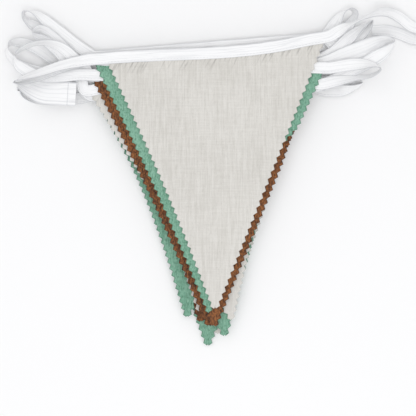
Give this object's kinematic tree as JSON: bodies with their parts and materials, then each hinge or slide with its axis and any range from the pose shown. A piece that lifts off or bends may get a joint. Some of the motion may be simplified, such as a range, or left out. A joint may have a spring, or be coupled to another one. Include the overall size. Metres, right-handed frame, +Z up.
{
  "type": "fabric bunting",
  "caption": "Folded string of pinked triangular cotton pennants in cream, mint green and brown, sewn into white bias tape that loops out at both sides.",
  "frame": {"origin": "below the middle of the folded bunting, on the surface that it lies on", "axes": "+X across the pennants from left to right, +Y from the tips to the tape, +Z up, out of the stack's face"},
  "size_m": [0.3686, 0.2884, 0.032],
  "materials": {
    "cream_cotton": "plain weave, matt, pinked edges",
    "green_cotton": "plain weave, matt, pinked edges",
    "brown_cotton": "plain weave, matt, pinked edges",
    "white_tape": "smooth folded bias binding, matt"
  },
  "bodies": {
    "root": {"flag_01_cream": "cream_cotton", "flag_02_green": "green_cotton", "flag_03_brown": "brown_cotton", "flag_04_brown": "brown_cotton", "flag_05_cream": "cream_cotton", "flag_06_green": "green_cotton", "flag_07_cream": "cream_cotton", "flag_08_green": "green_cotton", "flag_09_brown": "brown_cotton", "flag_10_green": "green_cotton", "flag_11_cream": "cream_cotton", "tape": "white_tape"}
  },
  "joints": []
}
